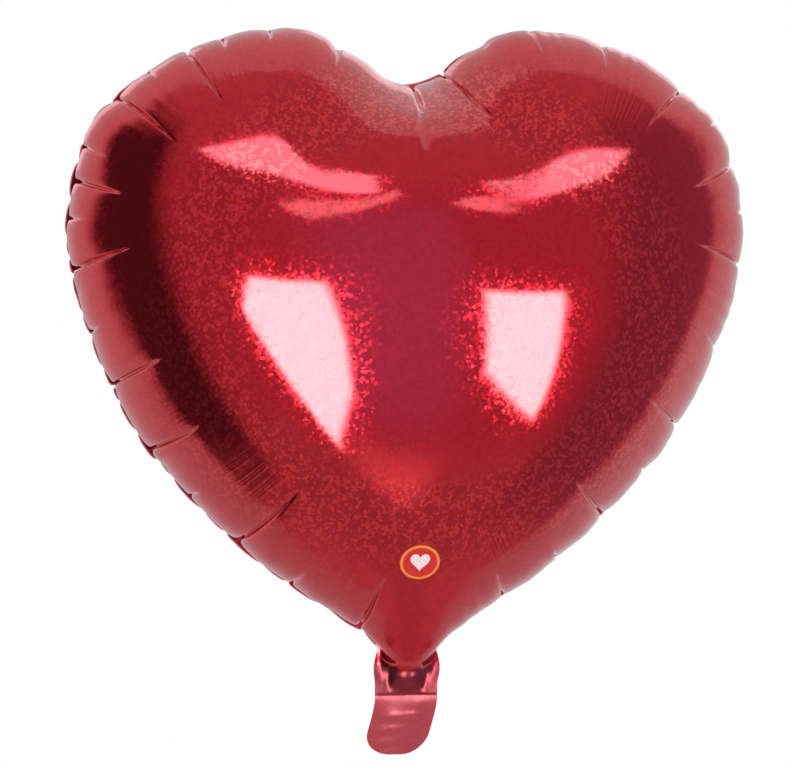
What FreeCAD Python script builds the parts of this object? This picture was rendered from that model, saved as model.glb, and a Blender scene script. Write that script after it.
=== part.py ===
import FreeCAD, Part
import math
import os

import Sketcher

# Heart-shaped foil balloon, millimetres. +Z is up and the front faces -Y. The origin is the
# middle of the neck, on the line where a ribbon is tied: the heart is above it, the filling
# tail hangs below it, and the two foils meet in the plane y = 0.
# The real films are 0.04 mm thick. Here each is thick enough to be a sound solid.

doc = FreeCAD.newDocument("foil_balloon")
Vector = FreeCAD.Vector
FRONT = 1     # the side a sketch on the XZ plane looks towards, which is -Y
REAR = -1
LEVELS = 7    # heart sections from the rim of a dome to its crown

# ---------------------------------------------------------------- driving dimensions
SIZES = [
    # inflated heart, measured inside the flat weld margin
    ("cleft_radius", 24.0, "round bottom of the cleft"),
    ("cleft_height", 363.0, "height of the centre of that round"),
    ("lobe_radius", 107.0, "top and outer side of each lobe"),
    ("lobe_offset", 77.0, "centre of each lobe from the middle"),
    ("side_radius", 440.0, "long side from lobe to tip"),
    ("tip_radius", 12.0, "round at the bottom tip"),
    ("tip_height", 32.0, "height of the centre of that round"),
    ("dome_depth", 92.0, "how far each foil bulges from the rim"),
    ("crown_height", 225.0, "height of the deepest point"),
    ("level_step", 14.0, "degrees of the dome's profile from one section to the next"),
    ("profile_power", 1.2, "above 1 makes the dome's crown flatter and its rim softer"),
    # foil and weld
    ("film", 0.5, "thickness of a foil"),
    ("margin", 3.5, "width of the flat weld round the heart"),
    # neck and its cross weld
    ("neck_half", 17.0, "half width of the neck and of the tail"),
    ("neck_flare", 24.0, "radius from the neck into the heart"),
    ("flare_sweep", 53.0, "degrees turned by that radius"),
    ("neck_bottom", 0.8, "how far the neck reaches below the tie line, just short of the fold"),
    ("neck_straight", 12.0, "height at which the flare starts"),
    # valve channel
    ("channel_half", 11.0, "half width of the recess for the valve in each foil"),
    ("channel_top", 30.0, "height of the recess"),
    ("recess", 0.25, "depth of the recess"),
    ("valve_half", 10.5, "half width of the valve films"),
    ("ply", 0.2, "thickness of a valve film"),
    ("valve_top", 86.0, "height of the valve's open end inside the heart"),
    ("flap_hinge", 32.0, "height at which the valve's rear film comes free"),
    ("flap_gap", 0.3, "clearance between the free film and the front one"),
    ("hinge_gap", 0.5, "from the hinge to the root below it and to the free film above it"),
    ("ink", 0.05, "thickness of the release coating"),
    ("ink_bottom", 1.0, "lower edge of the coating"),
    ("ink_top", 9.0, "upper edge of the coating"),
    # tail
    ("tail_top", 3.2, "top edge of the tail below the tie line; it folds just above that"),
    ("tail_full", 13.0, "where the tail is fully open, below the tie line"),
    ("tail_bottom", 37.0, "mouth of the tail below the tie line"),
    ("tail_arch_half", 14.0, "half width of the open part, inside the two side welds"),
    ("tail_sag_top", 0.9, "inner height of a tail film's arch at the top"),
    ("tail_sag", 2.2, "inner height of a tail film's arch where it is open"),
    ("tail_corner", 13.0, "radius of the mouth's two corners"),
    ("tail_trim", 1.0, "how far the cutters of those corners reach past the film"),
    ("inlet_bottom", 29.0, "lower end of the valve's inlet films"),
    ("inlet_gap", 0.1, "from the middle plane to each inlet film"),
    # printed badge
    ("badge_height", 76.7, "centre of the badge"),
    ("badge_half_width", 11.0, "half width of the oval badge"),
    ("badge_half_tall", 9.5, "half height of the oval badge"),
    ("badge_rise", 0.4, "how much deeper the badge's outer dome is than the foil's"),
]

sheet = doc.addObject("Spreadsheet::Sheet", "Sizes")
sheet.Label = "Sizes"
for row, (alias, value, note) in enumerate(SIZES, start=1):
    sheet.set(f"A{row}", alias)
    sheet.set(f"B{row}", str(value))
    sheet.set(f"C{row}", note)
    sheet.setAlias(f"B{row}", alias)
doc.recompute()


def size(alias):
    return float(sheet.get(alias))


def cell(alias):
    return f"<<Sizes>>.{alias}"


# ---------------------------------------------------------------- sketches and features
def new_body(name):
    body = doc.addObject("PartDesign::Body", name)
    body.Label = name
    return body


def new_sketch(body, name, role="XZ_Plane", lift="0"):
    """A sketch on one of the body's own planes, lifted along that plane's normal."""
    plane = next(f for f in body.Origin.OriginFeatures if f.Role == role)
    sketch = body.newObject("Sketcher::SketchObject", name)
    sketch.AttachmentSupport = [(plane, "")]
    sketch.MapMode = "FlatFace"
    sketch.setExpression("AttachmentOffset.Base.z", lift)
    return sketch


def dimension(sketch, kind, refs, value, expression):
    """Add a driving dimension and bind it to the sheet."""
    index = sketch.addConstraint(Sketcher.Constraint(kind, *refs, value))
    sketch.setExpression(f"Constraints[{index}]", expression)


def arc(centre, radius, start, end):
    circle = Part.Circle(Vector(centre[0], centre[1], 0), Vector(0, 0, 1), radius)
    return Part.ArcOfCircle(circle, start, end)


def polygon(sketch, points):
    """Closed straight outline. Each point is (x, x expression, y, y expression)."""
    first = sketch.GeometryCount
    count = len(points)
    for k, point in enumerate(points):
        after = points[(k + 1) % count]
        sketch.addGeometry(Part.LineSegment(Vector(point[0], point[2], 0),
                                            Vector(after[0], after[2], 0)))
    for k in range(count):
        sketch.addConstraint(Sketcher.Constraint("Coincident", first + k, 2,
                                                 first + (k + 1) % count, 1))
    for k, point in enumerate(points):
        dimension(sketch, "DistanceX", (-1, 1, first + k, 1), point[0], point[1])
        dimension(sketch, "DistanceY", (-1, 1, first + k, 1), point[2], point[3])


def rectangle(sketch, half, bottom, top):
    """Centred rectangle. Each argument is (value, expression)."""
    low_left = (-half[0], f"-({half[1]})", bottom[0], bottom[1])
    low_right = (half[0], half[1], bottom[0], bottom[1])
    top_right = (half[0], half[1], top[0], top[1])
    top_left = (-half[0], f"-({half[1]})", top[0], top[1])
    polygon(sketch, [low_left, low_right, top_right, top_left])


def named(alias, sign=1):
    """A sheet value and its expression, or its negative."""
    return (sign * size(alias), ("" if sign > 0 else "-") + cell(alias))


def pad(body, sketch, length, side=FRONT):
    feature = body.newObject("PartDesign::Pad", sketch.Name + "_pad")
    feature.Profile = sketch
    feature.setExpression("Length", length)
    feature.Reversed = side == REAR
    return feature


def pocket(body, sketch, length, side=FRONT):
    """Cut from the sketch into the solid that lies on the given side of it."""
    before = body.Shape.Volume
    feature = body.newObject("PartDesign::Pocket", sketch.Name + "_pocket")
    feature.Profile = sketch
    feature.setExpression("Length", length)
    feature.Reversed = side == FRONT
    doc.recompute()
    if body.Shape.Volume >= before - 1e-6:
        raise RuntimeError(sketch.Name + " cuts nothing")
    return feature


def pocket_through(body, sketch):
    before = body.Shape.Volume
    feature = body.newObject("PartDesign::Pocket", sketch.Name + "_pocket")
    feature.Profile = sketch
    feature.Type = "ThroughAll"
    feature.Midplane = True
    doc.recompute()
    if body.Shape.Volume >= before - 1e-6:
        raise RuntimeError(sketch.Name + " cuts nothing")
    return feature


def loft(body, sketches, cut=False):
    kind = "SubtractiveLoft" if cut else "AdditiveLoft"
    feature = body.newObject("PartDesign::" + kind, sketches[0].Name + "_loft")
    feature.Profile = sketches[0]
    feature.Sections = sketches[1:]
    feature.Ruled = False
    return feature


# ---------------------------------------------------------------- the heart
def heart_arcs(grow, scale):
    """Six tangent arcs of the heart as (centre, radius, start, end), anticlockwise."""
    crown = size("crown_height")
    cleft = (0.0, size("cleft_height"))
    tip = (0.0, size("tip_height"))
    cleft_r = size("cleft_radius") - grow
    lobe_r = size("lobe_radius") + grow
    side_r = size("side_radius") + grow
    tip_r = size("tip_radius") + grow
    lobe_x = size("lobe_offset")
    lobe = (lobe_x, cleft[1] - math.sqrt((cleft_r + lobe_r) ** 2 - lobe_x ** 2))
    # centre of the long side: inside both circles that it touches
    to_lobe = side_r - lobe_r
    to_tip = side_r - tip_r
    gap = math.dist(lobe, tip)
    along = (to_lobe ** 2 - to_tip ** 2 + gap ** 2) / (2 * gap)
    away = math.sqrt(to_lobe ** 2 - along ** 2)
    ux = (tip[0] - lobe[0]) / gap
    uz = (tip[1] - lobe[1]) / gap
    side = (lobe[0] + ux * along + uz * away, lobe[1] + uz * along - ux * away)
    at_cleft = math.atan2(lobe[1] - cleft[1], lobe[0] - cleft[0])
    at_lobe = math.atan2(lobe[1] - side[1], lobe[0] - side[0])
    at_tip = math.atan2(tip[1] - side[1], tip[0] - side[0])
    pi = math.pi
    arcs = [
        (cleft, cleft_r, -pi - at_cleft, at_cleft),
        (lobe, lobe_r, at_lobe, at_cleft + pi),
        (side, side_r, at_tip, at_lobe),
        (tip, tip_r, -pi - at_tip, at_tip),
        ((-side[0], side[1]), side_r, pi - at_lobe, pi - at_tip),
        ((-lobe[0], lobe[1]), lobe_r, -at_cleft, pi - at_lobe),
    ]
    scaled = []
    for centre, radius, start, end in arcs:
        middle = (centre[0] * scale, crown + (centre[1] - crown) * scale)
        scaled.append((middle, radius * scale, start, end))
    return scaled


def heart_sketch(body, name, grow=(0.0, "0"), lift="0", level=0):
    """Heart outline, grown outwards, shrunk towards the crown at a higher level."""
    angle = f"{level} * {cell('level_step')}"
    scale = math.cos(math.radians(level * size("level_step")))
    sketch = new_sketch(body, name, lift=lift)
    arcs = heart_arcs(grow[0], scale)
    for centre, radius, start, end in arcs:
        sketch.addGeometry(arc(centre, radius, start, end))
    joins = [(0, 2, 1, 2), (1, 1, 2, 2), (2, 1, 3, 2), (3, 1, 4, 2), (4, 1, 5, 2), (5, 1, 0, 1)]
    for join in joins:
        sketch.addConstraint(Sketcher.Constraint("Tangent", *join))
    for middle in (0, 3):
        sketch.addConstraint(Sketcher.Constraint("PointOnObject", middle, 3, -2))
    sketch.addConstraint(Sketcher.Constraint("Equal", 1, 5))
    sketch.addConstraint(Sketcher.Constraint("Equal", 2, 4))
    sketch.addConstraint(Sketcher.Constraint("Horizontal", 1, 3, 5, 3))
    factor = f"cos({angle})"
    radii = [(0, "cleft_radius", "-"), (1, "lobe_radius", "+"),
             (2, "side_radius", "+"), (3, "tip_radius", "+")]
    for index, alias, sign in radii:
        rule = f"({cell(alias)} {sign} ({grow[1]})) * {factor}"
        dimension(sketch, "Radius", (index,), arcs[index][1], rule)
    for index, alias in ((0, "cleft_height"), (3, "tip_height")):
        crown = cell("crown_height")
        rule = f"{crown} + ({cell(alias)} - {crown}) * {factor}"
        dimension(sketch, "DistanceY", (-1, 1, index, 3), arcs[index][0][1], rule)
    rule = f"{cell('lobe_offset')} * {factor}"
    dimension(sketch, "DistanceX", (-1, 1, 1, 3), arcs[1][0][0], rule)
    return sketch


def dome_sections(body, name, side, grow=(0.0, "0"), depth=None):
    """Heart outlines that rise and shrink from the rim to the crown of a dome."""
    depth = depth or cell("dome_depth")
    sign = "" if side == FRONT else "-"
    sketches = []
    for level in range(LEVELS):
        angle = f"{level} * {cell('level_step')}"
        lift = f"{sign}({depth}) * sin({angle}) ^ {cell('profile_power')}"
        if level == 0:
            lift = "0"
        sketches.append(heart_sketch(body, f"{name}_{level}", grow, lift, level))
    return sketches


# ---------------------------------------------------------------- foils
def neck_sketch(body, name):
    """Neck strip that flares into the heart with a round on each side."""
    half = size("neck_half")
    flare = size("neck_flare")
    start = size("neck_straight")
    bottom = -size("neck_bottom")
    sweep = math.radians(size("flare_sweep"))
    sketch = new_sketch(body, name)
    right = (half + flare, start)
    left = (-half - flare, start)
    top_x = right[0] - flare * math.cos(sweep)
    top_z = start + flare * math.sin(sweep)
    corners = [(-half, bottom), (half, bottom), (half, start), (top_x, top_z),
               (-top_x, top_z), (-half, start)]

    def line(first, second):
        return Part.LineSegment(Vector(*corners[first], 0), Vector(*corners[second], 0))

    sketch.addGeometry(line(0, 1))
    sketch.addGeometry(line(1, 2))
    sketch.addGeometry(arc(right, flare, math.pi - sweep, math.pi))
    sketch.addGeometry(line(3, 4))
    sketch.addGeometry(arc(left, flare, 0.0, sweep))
    sketch.addGeometry(line(5, 0))
    for join in [(0, 2, 1, 1), (2, 1, 3, 1), (3, 2, 4, 2), (5, 2, 0, 1)]:
        sketch.addConstraint(Sketcher.Constraint("Coincident", *join))
    for join in [(1, 2, 2, 2), (4, 1, 5, 1)]:
        sketch.addConstraint(Sketcher.Constraint("Tangent", *join))
    sketch.addConstraint(Sketcher.Constraint("Vertical", 1))
    sketch.addConstraint(Sketcher.Constraint("Symmetric", 0, 1, 0, 2, -2))
    sketch.addConstraint(Sketcher.Constraint("Symmetric", 3, 1, 3, 2, -2))
    sketch.addConstraint(Sketcher.Constraint("Equal", 2, 4))
    sketch.addConstraint(Sketcher.Constraint("Vertical", 5))
    dimension(sketch, "DistanceX", (-1, 1, 0, 2), half, cell("neck_half"))
    dimension(sketch, "DistanceY", (-1, 1, 0, 2), bottom, "-" + cell("neck_bottom"))
    dimension(sketch, "Radius", (2,), flare, cell("neck_flare"))
    dimension(sketch, "DistanceY", (-1, 1, 2, 3), start, cell("neck_straight"))
    rise = f"{cell('neck_straight')} + {cell('neck_flare')} * sin({cell('flare_sweep')})"
    dimension(sketch, "DistanceY", (-1, 1, 3, 1), top_z, rise)
    return sketch


def foil_panel(name, side):
    """One foil: flat weld margin, neck strip, and the dome that the gas pushes out."""
    body = new_body(name)
    margin = (size("margin"), cell("margin"))
    rim = heart_sketch(body, name + "_rim", margin)
    pad(body, rim, cell("film"), side)
    neck = neck_sketch(body, name + "_neck")
    pad(body, neck, cell("film"), side)
    loft(body, dome_sections(body, name + "_outer", side))
    inset = (-size("film"), "-" + cell("film"))
    depth = f"{cell('dome_depth')} - {cell('film')}"
    loft(body, dome_sections(body, name + "_inner", side, inset, depth), cut=True)
    doc.recompute()
    channel = new_sketch(body, name + "_channel")
    rectangle(channel, named("channel_half"), named("neck_bottom", -1), named("channel_top"))
    pocket(body, channel, cell("recess"), side)
    return body


def badge_oval(sketch):
    """The badge's outline. An ellipse's two diameters are the lines exposed after it."""
    wide = size("badge_half_width")
    tall = size("badge_half_tall")
    height = size("badge_height")
    right_end = Vector(wide, height, 0)
    top_end = Vector(0, height + tall, 0)
    index = sketch.addGeometry(Part.Ellipse(right_end, top_end, Vector(0, height, 0)))
    sketch.exposeInternalGeometry(index)
    major = index + 1
    minor = index + 2
    sketch.addConstraint(Sketcher.Constraint("PointOnObject", index, 3, -2))
    sketch.addConstraint(Sketcher.Constraint("Horizontal", major))
    dimension(sketch, "DistanceY", (-1, 1, index, 3), height, cell("badge_height"))
    dimension(sketch, "Distance", (major,), 2 * wide, f"2 * {cell('badge_half_width')}")
    dimension(sketch, "Distance", (minor,), 2 * tall, f"2 * {cell('badge_half_tall')}")


def printed_badge(name):
    """Oval print on the front foil: a thin slice between two domes, cut to its outline."""
    body = new_body(name)
    deeper = f"{cell('dome_depth')} + {cell('badge_rise')}"
    loft(body, dome_sections(body, name + "_outer", FRONT, depth=deeper))
    loft(body, dome_sections(body, name + "_inner", FRONT), cut=True)
    doc.recompute()
    trim = new_sketch(body, name + "_trim")
    far = 2 * size("dome_depth") + size("cleft_height")
    reach = f"2 * {cell('dome_depth')} + {cell('cleft_height')}"
    rectangle(trim, (far, reach), (-far, f"-({reach})"), (far, reach))
    badge_oval(trim)
    pocket_through(body, trim)
    return body


# ---------------------------------------------------------------- valve
def strip(name, half, bottom, top, near, thick, side):
    """Flat film between two heights; near is its inner face's distance from y = 0."""
    body = new_body(name)
    sign = "" if side == FRONT else "-"
    sketch = new_sketch(body, name + "_outline", lift=f"{sign}({near})")
    rectangle(sketch, half, bottom, top)
    pad(body, sketch, thick, side)
    return body


def valve():
    half = named("valve_half")
    neck_end = named("neck_bottom", -1)
    root = f"{cell('recess')} - {cell('ply')}"
    hinge = size("flap_hinge")
    gap = size("hinge_gap")
    root_top = (hinge - gap, f"{cell('flap_hinge')} - {cell('hinge_gap')}")
    flap_bottom = (hinge + gap, f"{cell('flap_hinge')} + {cell('hinge_gap')}")
    top = named("valve_top")
    ply = cell("ply")
    strip("valve_front_film", half, neck_end, top, root, ply, FRONT)
    strip("valve_rear_root", half, neck_end, root_top, root, ply, REAR)
    flap_near = f"{cell('flap_gap')} - ({root})"
    strip("valve_rear_flap", half, flap_bottom, top, flap_near, ply, REAR)
    strip("valve_release_coating", half, named("ink_bottom"), named("ink_top"),
          f"{root} - {cell('ink')}", cell("ink"), FRONT)
    inlet_top = named("tail_top", -1)
    inlet_end = named("inlet_bottom", -1)
    for name, side in (("inlet_front_film", FRONT), ("inlet_rear_film", REAR)):
        strip(name, half, inlet_end, inlet_top, cell("inlet_gap"), ply, side)


# ---------------------------------------------------------------- tail
def tail_section(body, name, side, drop, sag, drop_rule, sag_rule):
    """Cross-section of a tail film: an arch between two flat side welds."""
    film = size("film")
    edge = size("neck_half")
    half = size("tail_arch_half")
    sketch = new_sketch(body, name, role="XY_Plane", lift=f"-({drop_rule})")
    out = -side                       # the front film bulges towards -Y

    def bow(level, bulge):
        left = Vector(-half, out * level, 0)
        middle = Vector(0, out * (level + bulge), 0)
        right = Vector(half, out * level, 0)
        return Part.Arc(left, middle, right)

    def line(start, end):
        return Part.LineSegment(Vector(start[0], out * start[1], 0),
                                Vector(end[0], out * end[1], 0))

    sketch.addGeometry(line((-edge, 0), (-half, 0)))
    sketch.addGeometry(bow(0.0, sag))
    sketch.addGeometry(line((half, 0), (edge, 0)))
    sketch.addGeometry(line((edge, 0), (edge, film)))
    sketch.addGeometry(line((edge, film), (half, film)))
    sketch.addGeometry(bow(film, sag))
    sketch.addGeometry(line((-half, film), (-edge, film)))
    sketch.addGeometry(line((-edge, film), (-edge, 0)))
    # an arc's own start is its anticlockwise one, which is the right end of an arch that
    # bulges up and the left end of one that bulges down
    left_end, right_end = (2, 1) if out > 0 else (1, 2)
    for join in [(0, 2, 1, left_end), (1, right_end, 2, 1), (2, 2, 3, 1), (3, 2, 4, 1),
                 (4, 2, 5, right_end), (5, left_end, 6, 1), (6, 2, 7, 1), (7, 2, 0, 1)]:
        sketch.addConstraint(Sketcher.Constraint("Coincident", *join))
    for flat in (0, 2, 4, 6):
        sketch.addConstraint(Sketcher.Constraint("Horizontal", flat))
    for upright in (3, 7):
        sketch.addConstraint(Sketcher.Constraint("Vertical", upright))
    sketch.addConstraint(Sketcher.Constraint("PointOnObject", 0, 1, -1))
    sketch.addConstraint(Sketcher.Constraint("PointOnObject", 2, 2, -1))
    for middle in (1, 5):
        sketch.addConstraint(Sketcher.Constraint("PointOnObject", middle, 3, -2))
    arch_radius = (half ** 2 + sag ** 2) / (2 * sag)
    radius_rule = f"({cell('tail_arch_half')} ^ 2 + {sag_rule} ^ 2) / (2 * {sag_rule})"
    dimension(sketch, "DistanceX", (-1, 1, 2, 1), half, cell("tail_arch_half"))
    dimension(sketch, "DistanceX", (-1, 1, 2, 2), edge, cell("neck_half"))
    dimension(sketch, "DistanceX", (0, 1, -1, 1), edge, cell("neck_half"))
    dimension(sketch, "DistanceY", (-1, 1, 3, 2), out * film, f"{out} * {cell('film')}")
    dimension(sketch, "Radius", (1,), arch_radius, radius_rule)
    dimension(sketch, "Radius", (5,), arch_radius, radius_rule)
    return sketch


def tail_film(name, side):
    """Tail film, flat where the cross weld holds it and arched open lower down."""
    body = new_body(name)
    places = [("tail_top", "tail_sag_top"), ("tail_full", "tail_sag"), ("tail_bottom", "tail_sag")]
    for k in range(2):
        sections = []
        for place, sag in places[k:k + 2]:
            sections.append(tail_section(body, f"{name}_{k}_{place}", side, size(place), size(sag),
                                         cell(place), cell(sag)))
        loft(body, sections)
    doc.recompute()
    corners = new_sketch(body, name + "_corners")
    for turn in (1, -1):
        tail_corner(corners, turn)
    pocket_through(body, corners)
    return body


def tail_corner(sketch, turn):
    """What is cut away outside one round corner of the mouth; turn is 1 right, -1 left."""
    edge = size("neck_half")
    radius = size("tail_corner")
    bottom = -size("tail_bottom")
    beyond = size("tail_trim")
    first = sketch.GeometryCount
    pivot = (turn * (edge - radius), bottom + radius)
    start = -math.pi / 2 if turn > 0 else math.pi
    points = [(edge, bottom + radius), (edge + beyond, bottom + radius),
              (edge + beyond, bottom - beyond), (edge - radius, bottom - beyond),
              (edge - radius, bottom)]
    for near, far in zip(points, points[1:]):
        sketch.addGeometry(Part.LineSegment(Vector(turn * near[0], near[1], 0),
                                            Vector(turn * far[0], far[1], 0)))
    sketch.addGeometry(arc(pivot, radius, start, start + math.pi / 2))
    low, high = (1, 2) if turn > 0 else (2, 1)
    for k in range(3):
        sketch.addConstraint(Sketcher.Constraint("Coincident", first + k, 2, first + k + 1, 1))
    sketch.addConstraint(Sketcher.Constraint("Coincident", first + 3, 2, first + 4, low))
    sketch.addConstraint(Sketcher.Constraint("Coincident", first + 4, high, first, 1))
    for k in (0, 2):
        sketch.addConstraint(Sketcher.Constraint("Horizontal", first + k))
    for k in (1, 3):
        sketch.addConstraint(Sketcher.Constraint("Vertical", first + k))
    sign = "" if turn > 0 else "-"
    radius_rule = cell("tail_corner")
    edge_rule = cell("neck_half")
    base_rule = cell("tail_bottom")
    beyond_rule = cell("tail_trim")
    dimension(sketch, "DistanceX", (-1, 1, first + 4, 3), pivot[0],
              f"{sign}({edge_rule} - {radius_rule})")
    dimension(sketch, "DistanceY", (-1, 1, first + 4, 3), pivot[1], f"{radius_rule} - {base_rule}")
    dimension(sketch, "Radius", (first + 4,), radius, radius_rule)
    sketch.addConstraint(Sketcher.Constraint("Vertical", first + 4, low, first + 4, 3))
    sketch.addConstraint(Sketcher.Constraint("Horizontal", first + 4, high, first + 4, 3))
    dimension(sketch, "DistanceX", (-1, 1, first + 1, 1), turn * (edge + beyond),
              f"{sign}({edge_rule} + {beyond_rule})")
    dimension(sketch, "DistanceY", (-1, 1, first + 1, 2), bottom - beyond,
              f"-{base_rule} - {beyond_rule}")


# ---------------------------------------------------------------- build and write
foil_panel("front_foil_panel", FRONT)
foil_panel("rear_foil_panel", REAR)
valve()
tail_film("tail_front_film", FRONT)
tail_film("tail_rear_film", REAR)
printed_badge("printed_badge")
doc.recompute()

for thing in doc.Objects:
    if "Invalid" in thing.State or "Error" in thing.State:
        raise RuntimeError(f"{thing.Name} failed: {thing.State}")

os.makedirs("parts", exist_ok=True)
for body in doc.findObjects("PartDesign::Body"):
    shape = body.Shape
    if shape.isNull() or not shape.isValid() or len(shape.Solids) != 1:
        raise RuntimeError(body.Label + " is not one sound solid")
    box = shape.BoundBox
    print(f"{body.Label:24s} {shape.Volume / 1000:8.3f} cm3  x {box.XMin:7.1f} {box.XMax:7.1f}"
          f"  y {box.YMin:6.1f} {box.YMax:6.1f}  z {box.ZMin:6.1f} {box.ZMax:6.1f}")
    shape.exportStep(f"parts/{body.Label}.step")
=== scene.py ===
import math

import bpy
import numpy as np
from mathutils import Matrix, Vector
from mathutils.bvhtree import BVHTree
from mathutils.geometry import delaunay_2d_cdt
from mathutils.kdtree import KDTree


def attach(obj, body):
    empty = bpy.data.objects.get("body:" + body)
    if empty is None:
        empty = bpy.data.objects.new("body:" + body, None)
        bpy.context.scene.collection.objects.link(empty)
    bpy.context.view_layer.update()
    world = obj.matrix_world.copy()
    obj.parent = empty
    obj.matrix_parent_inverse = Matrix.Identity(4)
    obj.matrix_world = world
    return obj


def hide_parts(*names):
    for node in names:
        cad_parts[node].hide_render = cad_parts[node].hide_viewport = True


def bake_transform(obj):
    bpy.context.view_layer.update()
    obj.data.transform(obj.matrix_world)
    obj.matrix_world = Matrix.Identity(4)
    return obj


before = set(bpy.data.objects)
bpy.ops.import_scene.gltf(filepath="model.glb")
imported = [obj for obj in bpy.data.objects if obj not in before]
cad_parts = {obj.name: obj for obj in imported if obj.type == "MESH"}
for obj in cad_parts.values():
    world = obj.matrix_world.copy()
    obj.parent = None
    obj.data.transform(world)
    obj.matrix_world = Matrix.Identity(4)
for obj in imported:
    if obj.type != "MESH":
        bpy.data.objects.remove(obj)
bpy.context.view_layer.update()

# Heart-shaped foil balloon. One foil is cut flat and blown up by a small film solver that lets the
# film gather freely, which gives the smooth form. The creases, puffs and fine folds that the gathered
# film makes at the seam are not solved: they are laid on a finer mesh afterwards. The rear foil is made
# from the same film, and the depth of both is scaled down to stay near the CAD domes.
# The film is worked out in millimetres, everything else in metres.
MM = 0.001
SEED = 7
rng = np.random.default_rng(SEED)


# ------------------------------------------------------------------ camera
CAMERA_AZIMUTH = math.radians(-7.0)
CAMERA_DISTANCE = 2.3
VIEW_HEIGHT = 0.4295                   # metres of the object's plane from top to bottom of the frame
VIEW_CENTRE = Vector((-0.006, 0.0, 0.174))


def make_camera():
    data = bpy.data.cameras.new("camera")
    data.sensor_fit = "VERTICAL"
    data.angle_y = 2 * math.atan(VIEW_HEIGHT / 2 / CAMERA_DISTANCE)
    camera = bpy.data.objects.new("camera", data)
    away = Vector((math.sin(CAMERA_AZIMUTH), -math.cos(CAMERA_AZIMUTH), 0.0))
    camera.location = VIEW_CENTRE + away * CAMERA_DISTANCE
    camera.rotation_euler = (-away).to_track_quat("-Z", "Y").to_euler()
    bpy.context.scene.collection.objects.link(camera)
    bpy.context.scene.camera = camera


make_camera()

# ------------------------------------------------------------------ flat pattern, millimetres
CLEFT_BOTTOM = 419.5                   # z of the cleft on the flat foil, above the tie line
CLEFT_RADIUS = 50.0
LOBE_RADIUS = 157.0
LOBE_OFFSET = 75.5
SIDE_RADIUS = 297.0
JOIN_ANGLE = math.radians(-12.0)       # where the lobe's arc runs into the long side
NECK_HALF = 14.5                       # half width between the neck's two side welds
NECK_FILLET = 18.0
TAIL_LENGTH = 34.0
TAIL_HALF = 17.5                       # half width over the welds
TAIL_CORNER = 11.0
WELD_WIDTH = 3.0                       # flat weld outside the seam line
TIE_HALF = 1.5                         # the film is flat below this height while it is blown up
SEAM_SAMPLES = 1400                    # points of the seam that distances are measured to

# the solver
COARSE_SPACING = 10.4
COARSE_STEPS = 300
REFINED_STEPS = 160
FIRST_PUFF = 6.0                       # the film starts out this far from flat, times root of depth
PRESSURE = 0.0003
SMOOTHING = 0.001
DAMPING = 0.97


def arc(centre, radius, start, end):
    """Points half a millimetre apart."""
    count = max(3, int(abs(end - start) * radius / 0.5))
    turn = np.linspace(start, end, count)
    return np.c_[centre[0] + radius * np.cos(turn), centre[1] + radius * np.sin(turn)]


def flat_outline():
    """Seam line of the flat balloon, clockwise from the cleft, with its running length."""
    cleft = (0.0, CLEFT_BOTTOM + CLEFT_RADIUS)
    reach = CLEFT_RADIUS + LOBE_RADIUS
    lobe = (LOBE_OFFSET, cleft[1] - math.sqrt(reach ** 2 - LOBE_OFFSET ** 2))
    at_cleft = math.atan2(lobe[1] - cleft[1], lobe[0])
    gap = SIDE_RADIUS - LOBE_RADIUS
    side = (lobe[0] - gap * math.cos(JOIN_ANGLE), lobe[1] - gap * math.sin(JOIN_ANGLE))
    fillet_x = NECK_HALF + NECK_FILLET
    drop = math.sqrt((SIDE_RADIUS + NECK_FILLET) ** 2 - (fillet_x - side[0]) ** 2)
    fillet = (fillet_x, side[1] - drop)
    at_neck = math.atan2(fillet[1] - side[1], fillet[0] - side[0])
    corner = (NECK_HALF - TAIL_CORNER, TAIL_CORNER - TAIL_LENGTH)
    neck = np.array([[NECK_HALF, z] for z in np.arange(fillet[1], corner[1], -0.5)])
    mouth = np.array([[x, -TAIL_LENGTH] for x in np.arange(corner[0], 0.0, -0.5)])
    right = np.vstack([
        arc(cleft, CLEFT_RADIUS, -math.pi / 2, at_cleft),
        arc(lobe, LOBE_RADIUS, at_cleft + math.pi, JOIN_ANGLE),
        arc(side, SIDE_RADIUS, JOIN_ANGLE, at_neck),
        arc(fillet, NECK_FILLET, at_neck + math.pi, math.pi),
        neck,
        arc(corner, TAIL_CORNER, 0.0, -math.pi / 2),
        mouth,
    ])
    left = right[::-1] * (-1.0, 1.0)
    line = np.vstack([right, left])
    keep = np.linalg.norm(line - np.roll(line, 1, axis=0), axis=1) > 1e-6
    line = line[keep]
    steps = np.linalg.norm(np.roll(line, -1, axis=0) - line, axis=1)
    return line, np.concatenate([[0.0], np.cumsum(steps)])


OUTLINE, RUNNING = flat_outline()
PERIMETER = RUNNING[-1]


def on_outline(run, off):
    """Points of the outline at a running length, moved outwards by off."""
    run = np.mod(run, PERIMETER)
    closed = np.vstack([OUTLINE, OUTLINE[:1]])
    slope = np.roll(OUTLINE, -1, axis=0) - np.roll(OUTLINE, 1, axis=0)
    slope = np.vstack([slope, slope[:1]])
    point = np.c_[np.interp(run, RUNNING, closed[:, 0]), np.interp(run, RUNNING, closed[:, 1])]
    along = np.c_[np.interp(run, RUNNING, slope[:, 0]), np.interp(run, RUNNING, slope[:, 1])]
    along /= np.linalg.norm(along, axis=1)[:, None]
    return point + np.c_[-along[:, 1], along[:, 0]] * off[:, None]


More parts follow.
